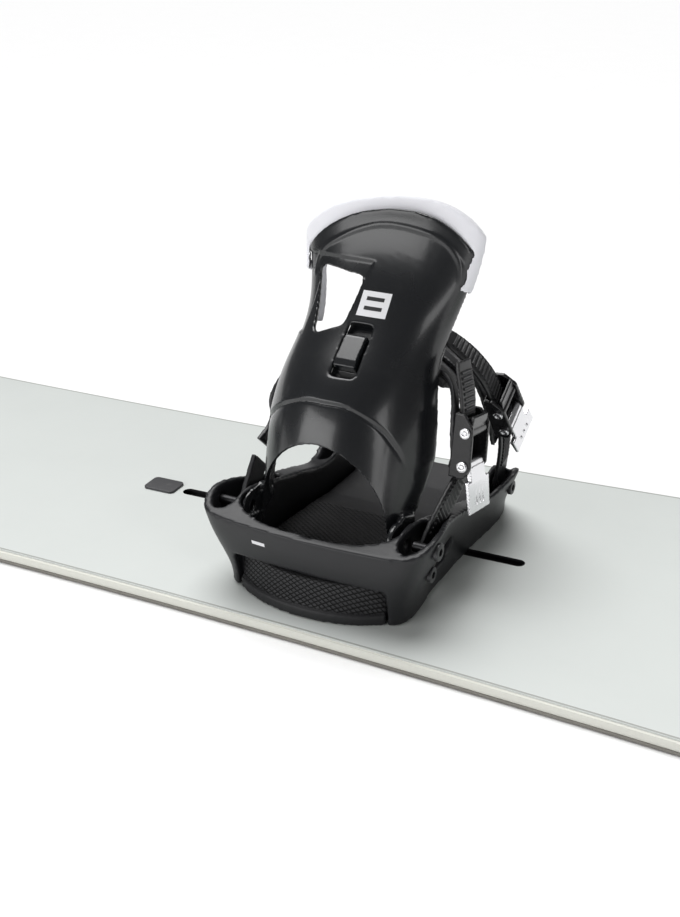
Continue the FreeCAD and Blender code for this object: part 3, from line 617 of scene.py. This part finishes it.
# One plain mesh of source copies, one at each (point, facing, heading) in metres.
def scattered(name, places, source, slot):
    mesh = bpy.data.meshes.new(name)
    mesh.from_pydata([place[0] for place in places], [], [])
    for label, k in (("facing", 1), ("heading", 2)):
        data = mesh.attributes.new(label, "FLOAT_VECTOR", "POINT")
        data.data.foreach_set("vector", [c for place in places for c in place[k]])
    obj = newObject(name, mesh)
    mod = obj.modifiers.new("repeat", "NODES")
    mod.node_group = repeat
    ids = {i.name: i.identifier for i in repeat.interface.items_tree
           if i.item_type == "SOCKET" and i.in_out == "INPUT"}
    mod[ids["Source"]] = source
    mod[ids["Size"]] = 1.0
    mod[ids["Finish"]] = looks[slot]
    return settle(obj)


# Turned part about Z; rings after hexFrom follow a hexagon.
def revolved(name, profile, sides=28, hexFrom=None, bend=30):
    bm = bmesh.new()
    rings = []
    for i, (r, z) in enumerate(profile):
        ring = []
        for k in range(sides):
            a = 2 * math.pi * k / sides
            reach = r
            if hexFrom is not None and i >= hexFrom:
                reach = r / math.cos((a % (math.pi / 3)) - math.pi / 6)
            ring.append(bm.verts.new((reach * math.cos(a) / 1000, reach * math.sin(a) / 1000, z / 1000)))
        rings.append(ring)
    for low, high in zip(rings, rings[1:]):
        for k in range(sides):
            n = (k + 1) % sides
            bm.faces.new((low[k], low[n], high[n], high[k]))
    bm.faces.new(list(reversed(rings[0])))
    bm.faces.new(rings[-1])
    bmesh.ops.recalc_face_normals(bm, faces=bm.faces)
    mesh = bpy.data.meshes.new(name)
    bm.to_mesh(mesh)
    bm.free()
    mesh.polygons.foreach_set("use_smooth", [True] * len(mesh.polygons))
    mesh.set_sharp_from_angle(angle=math.radians(bend))
    return newObject(name, mesh)


# A direction of the right binding as one of the frame.
def pointedBy(direction):
    return (toBoard(direction) - toBoard((0, 0, 0))).normalized()


# Places given in the binding's millimetres, as metres on the right side.
def onBinding(points):
    return [(toBoard(p), pointedBy(facing), pointedBy(heading)) for p, facing, heading in points]


# Radius and height down a socket-head screw, from its shaft to its socket's floor.
def capProfile(size, tall=2.6):
    r, key, shaft = size["head"], size["key"], size["shaft"]
    return [(shaft, -14.0), (shaft, 0), (r - 0.3, 0), (r, 0.3), (r, tall - 0.7), (r - 0.25, tall - 0.2),
            (r - 0.8, tall), (key + 0.25, tall), (key, tall - 0.25), (key, tall - 1.4)]


# Radii in millimetres, and (outwards, along the foot, height) of each head's seat.
strapScrew = {"head": 4.9, "key": 2.0, "shaft": 2.5, "seats": [(67.6, -82.0, 30.0), (65.6, 50.0, 28.0)]}
hingeScrew = {"head": 5.4, "key": 2.1, "shaft": 3.0, "seats": [(73.2, -86.0, 48.0)]}
for name, screw in (("strap", strapScrew), ("hinge", hingeScrew)):
    source = revolved(name + "ScrewSource", capProfile(screw), sides=36, hexFrom=8)
    seats = [((s * out, y, z), (s, 0, 0), (0, 1, 0)) for out, y, z in screw["seats"] for s in (1, -1)]
    heads = scattered(f"right{name.title()}ScrewLook", onBinding(seats), source, "black_screw")
    bothSides(heads, name + "_screws")
    bpy.data.objects.remove(source)
for node in ("disc_screws", "channel_nuts", "ankle_buckle_pins", "toe_buckle_pins"):
    bothSides(copyOf("right_" + node, lookName(node)), node)


rivet = {"flange": 2.9, "hole": 1.2, "rise": 0.55}  # the ring on each pin's end, millimetres


# Where each loose pin of a mesh ends, and which way it points there.
def pinEnds(mesh):
    links = {v.index: set() for v in mesh.vertices}
    for edge in mesh.edges:
        one, two = edge.vertices
        links[one].add(two)
        links[two].add(one)
    left, ends = set(links), []
    while left:
        found, waiting = set(), [left.pop()]
        while waiting:
            at = waiting.pop()
            found.add(at)
            waiting += [n for n in links[at] if n in left]
            left -= links[at]
        spots = np.array([mesh.vertices[i].co for i in sorted(found)])
        middle = (spots.max(0) + spots.min(0)) / 2
        axis = np.linalg.svd(spots - spots.mean(0), full_matrices=False)[2][0]
        reach = np.abs((spots - middle) @ axis).max()
        for way in (1, -1):
            ends.append((Vector(middle + axis * reach * way), Vector(axis * way)))
    return ends


def rivetProfile(size):
    r, rise, hole = size["flange"], size["rise"], size["hole"]
    return [(r - 0.4, -0.3), (r, -0.1), (r, 0.15), (r - 0.3, rise), (r - 0.9, rise + 0.15),
            (hole + 0.25, rise), (hole, rise - 0.25), (hole - 0.1, -0.1)]


ring = revolved("rivetSource", rivetProfile(rivet), sides=32)
for node in ("ankle", "toe"):
    pins = bpy.data.objects[f"right{node.title()}BucklePinsLook"].data
    heads = [(spot, way, way.orthogonal().normalized()) for spot, way in pinEnds(pins)]
    addedTo(scattered(f"right{node.title()}RivetLook", heads, ring, "rivet_steel"),
            f"{node}_strap", "rivet_steel")
bpy.data.objects.remove(ring)
print("screws done")


# Steps of the teeth, how far they start from the anchor, their lift off the strap's middle
# and their width; above the crown a ladder turns in over the foot. All in millimetres.
ladder = {"pitch": 3.1, "start": 22.0, "lift": 1.2, "tooth": 12.0, "crown": 95.0}


# Even steps down a smooth path through the stations, with facing and heading.
def along(stations, pitch, start):
    pts = [Vector(s[:3]) for s in stations]
    dense = []
    for i in range(len(pts) - 1):
        p0, p1, p2, p3 = pts[max(i - 1, 0)], pts[i], pts[i + 1], pts[min(i + 2, len(pts) - 1)]
        for k in range(24):
            t = k / 24
            dense.append(0.5 * (2 * p1 + (p2 - p0) * t + (2 * p0 - 5 * p1 + 4 * p2 - p3) * t * t
                                + (3 * p1 - p0 - 3 * p2 + p3) * t ** 3))
    dense.append(pts[-1])
    run, steps, want = 0.0, [], start
    for a, b in zip(dense, dense[1:]):
        step = (b - a).length
        while want <= run + step:
            here = a.lerp(b, (want - run) / step)
            tangent = (b - a).normalized()
            out = Vector((here.x, 0, max(0.0, here.z - ladder["crown"])))
            out = (out - tangent * out.dot(tangent)).normalized()
            steps.append((here, out, tangent))
            want += pitch
        run += step
    return steps


# One ladder tooth: a ramp with a steep far face.
def toothSource(width):
    w, mesh = width / 2000, bpy.data.meshes.new("toothSource")
    side = [(-0.0013, -0.0002), (0.0011, -0.0002), (0.0011, 0.0006), (0.0007, 0.0009), (0.0002, 0.0009)]
    verts = [(x, -w, z) for x, z in side] + [(x, w, z) for x, z in side]
    n = len(side)
    faces = [tuple(range(n)), tuple(range(2 * n - 1, n - 1, -1))]
    faces += [(i, i + n, (i + 1) % n + n, (i + 1) % n) for i in range(n)]
    mesh.from_pydata(verts, [], faces)
    bm = bmesh.new()
    bm.from_mesh(mesh)
    bmesh.ops.recalc_face_normals(bm, faces=bm.faces)
    bm.to_mesh(mesh)
    bm.free()
    return newObject("toothSource", mesh)


# Middle line of each ladder, from its anchor to its buckle.
ladderPaths = {
    "ankle": [(59, -82, 30), (60.2, -70, 42), (61.6, -52, 56), (63, -36, 66), (63.8, -29.6, 76),
              (63.8, -26.1, 94), (63.2, -23.4, 108), (60.5, -21, 124), (57, -19, 138)],
    "toe": [(57.8, 50, 28), (60, 47, 42), (63.5, 41, 62), (65.4, 33.2, 80), (65.8, 23.8, 95),
            (64.4, 15, 109), (58, 8, 124), (48, 3, 136), (38, 0, 144)],
}
tooth = toothSource(ladder["tooth"])
for name, stations in ladderPaths.items():
    steps = along(stations, ladder["pitch"], ladder["start"])
    places = onBinding([(p + out * ladder["lift"], out, tangent) for p, out, tangent in steps[:-2]])
    teeth = scattered(f"right{name.title()}TeethLook", places, tooth, "ladder_plastic")
    addedTo(teeth, f"{name}_strap", "ladder_plastic")
bpy.data.objects.remove(tooth)
print("ladders done")


# A thin print laid on target by casting a grid of rays onto it.
def decal(name, target, spot, u, v, size, toward, steps=14, lift=0.12):
    tree = BVHTree.FromObject(target, bpy.context.evaluated_depsgraph_get())
    ray = pointedBy(toward)
    bm = bmesh.new()
    grid = {}
    for i in range(steps + 1):
        for k in range(steps + 1):
            a, b = (i / steps - 0.5) * size[0], (k / steps - 0.5) * size[1]
            start = toBoard(Vector(spot) + Vector(u) * a + Vector(v) * b - Vector(toward) * 60)
            hit = tree.ray_cast(start, ray)[0]
            if hit is not None:
                grid[i, k] = bm.verts.new(hit - ray * lift / 1000)
    for i in range(steps):
        for k in range(steps):
            corner = [(i, k), (i + 1, k), (i + 1, k + 1), (i, k + 1)]
            if all(c in grid for c in corner):
                bm.faces.new([grid[c] for c in corner])
    bmesh.ops.recalc_face_normals(bm, faces=bm.faces)
    for face in bm.faces:
        if face.normal.dot(ray) > 0:
            face.normal_flip()
    mesh = bpy.data.meshes.new(name)
    bm.to_mesh(mesh)
    bm.free()
    mesh.polygons.foreach_set("use_smooth", [True] * len(mesh.polygons))
    return newObject(name, mesh)


printWhite = finish("printWhite", (0.70, 0.70, 0.72), 0.45, grain=(1500.0, 0.1), drift=0.03, rub=0.0)
printDark = finish("printDark", (0.02, 0.02, 0.022), 0.4, grain=(1500.0, 0.1), rub=0.0)
upShell = (0, math.sin(lean), math.cos(lean))


# A place across, up and behind the highback, in the binding's millimetres.
def shellPoint(x, w, v=-20.0):
    return (x, shell["hinge"][0] + v * math.cos(lean) + w * math.sin(lean),
            shell["hinge"][1] + w * math.cos(lean) - v * math.sin(lean))


# Middle across and up the highback, and the size of each print.
label = {"x": 4.5, "up": 128.0, "size": (18.0, 14.5), "bars": (131.0, 125.5), "bar": (11.0, 2.2)}
heelMark = {"spot": (-29, -116, 40), "size": (9.0, 2.4), "toward": (0.12, 1, 0)}

into = (0, math.cos(lean), -math.sin(lean))
plate = decal("rightHighbackLabelLook", built["highback"], shellPoint(label["x"], label["up"]),
              (1, 0, 0), upShell, label["size"], into)
addedTo(plate, "highback", "highback_nylon", printWhite)
for k, w in enumerate(label["bars"]):
    bar = decal(f"rightHighbackLabelBar{k}Look", built["highback"], shellPoint(label["x"], w),
                (1, 0, 0), upShell, label["bar"], into, steps=8, lift=0.2)
    addedTo(bar, "highback", "highback_nylon", printDark)
mark = decal("rightHeelMarkLook", built["baseplate"], heelMark["spot"], (1, 0, 0), (0, 0, 1),
             heelMark["size"], heelMark["toward"], steps=8)
addedTo(mark, "base", "black_nylon", printWhite)
print("marks done")

studio = {
    "floor": 14.0, "tone": (0.93, 0.93, 0.93), "world": 0.14,
    "sun": 3.15, "sunSpread": 50, "sunTurn": (-14, -16, 0),
    "eye": (0.56755, -0.69079, 0.41002), "pan": 24.90, "tilt": 24.91, "lens": 50.64,
}
# Where each panel stands and aims, its size in metres and its power.
panels = {
    "backPanel": ((-0.50, -1.45, 0.62), (0.28, -0.05, 0.16), (1.5, 0.8), 13),
    "sidePanel": ((1.55, -0.75, 0.5), (0.28, 0, 0.1), (0.35, 0.8), 2.5),
}
floorMesh = bpy.data.meshes.new("studioFloor")
half = studio["floor"] / 2
floorMesh.from_pydata([(-half, -half, 0), (half, -half, 0), (half, half, 0), (-half, half, 0)], [],
                      [(0, 1, 2, 3)])
floor = newObject("studioFloor", floorMesh)
floor.location.z = -0.0005
floor.data.materials.append(finish("floorPaper", studio["tone"], 0.9, worn=studio["tone"],
                                   grain=(300.0, 0.02), drift=0.01, dust=0.0, rub=0.0))

world = bpy.data.worlds.new("studioWorld")
bpy.context.scene.world = world
world.use_nodes = True
world.node_tree.nodes["Background"].inputs["Color"].default_value = (1, 1, 1, 1)
world.node_tree.nodes["Background"].inputs["Strength"].default_value = studio["world"]


def softBox(name, spot, aim, size, power):
    data = bpy.data.lights.new(name, "AREA")
    data.shape = "RECTANGLE"
    data.size, data.size_y = size
    data.energy = power
    lamp = bpy.data.objects.new(name, data)
    bpy.context.scene.collection.objects.link(lamp)
    lamp.location = spot
    lamp.rotation_euler = (Vector(aim) - Vector(spot)).to_track_quat("-Z", "Y").to_euler()


for name, (spot, aim, size, power) in panels.items():
    softBox(name, spot, aim, size, power)

sunData = bpy.data.lights.new("overhead", "SUN")
sunData.energy = studio["sun"]
sunData.angle = math.radians(studio["sunSpread"])
overhead = bpy.data.objects.new("overhead", sunData)
bpy.context.scene.collection.objects.link(overhead)
overhead.rotation_euler = [math.radians(a) for a in studio["sunTurn"]]

camera = bpy.data.cameras.new("camera")
camera.sensor_fit = "VERTICAL"
camera.sensor_height = 36.0
camera.lens = studio["lens"]
camera.clip_start, camera.clip_end = 0.01, 60
eye = bpy.data.objects.new("camera", camera)
bpy.context.scene.collection.objects.link(eye)
eye.location = studio["eye"]
pan, tilt = math.radians(studio["pan"]), math.radians(studio["tilt"])
eye.rotation_euler = (math.pi / 2 - tilt, 0, pan)
bpy.context.scene.camera = eye
bpy.context.scene.view_settings.view_transform = "Standard"
print("studio ready")
